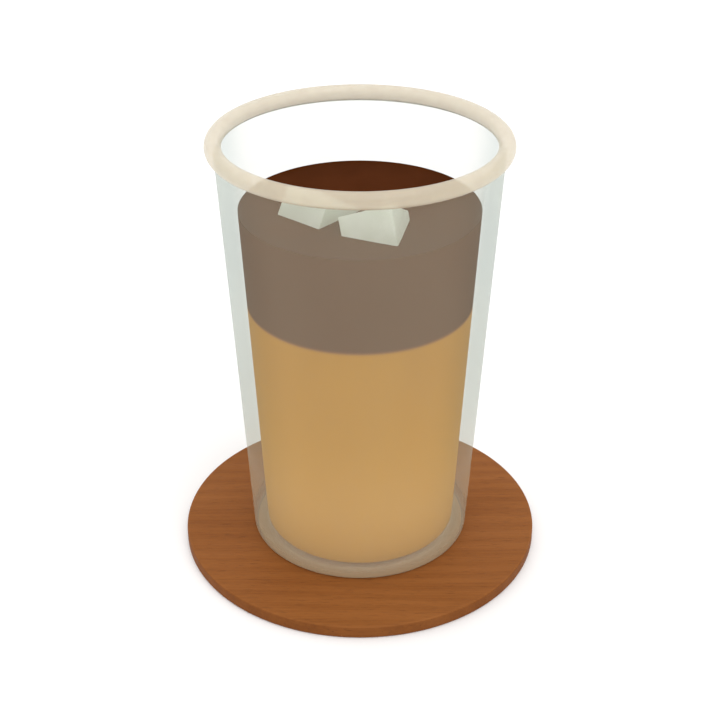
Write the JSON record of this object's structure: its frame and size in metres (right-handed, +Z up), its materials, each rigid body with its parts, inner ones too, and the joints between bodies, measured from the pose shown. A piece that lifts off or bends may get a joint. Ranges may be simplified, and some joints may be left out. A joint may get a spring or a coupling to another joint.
{
  "type": "iced coffee",
  "caption": "Layered iced coffee in a tapered glass tumbler with a rolled cream lip, ice floating in the dark top layer, standing on a round wooden coaster.",
  "frame": {"origin": "centre of the coaster's underside, on the tumbler's axis", "axes": "+Z up through the mouth; -Y is the side the picture shows, where the ice floats; +X is to the right seen from there"},
  "size_m": [0.1016, 0.1016, 0.1227],
  "materials": {
    "coaster_wood": "fine-grained brown wood, oiled and matt",
    "pale_glass": "thick pale grey-green glass, misted by the cold drink",
    "cream_lip": "smooth cream opal glass",
    "milk_coffee": "opaque caramel-coloured liquid",
    "black_coffee": "opaque dark brown liquid, glossy surface",
    "ice": "cloudy pale ice, wet and smooth"
  },
  "bodies": {
    "root": {"coaster": "coaster_wood", "glass": "pale_glass", "rim_ring": "cream_lip", "milk_coffee": "milk_coffee", "black_coffee": "black_coffee", "ice_cube_1": "ice", "ice_cube_2": "ice"}
  },
  "joints": []
}
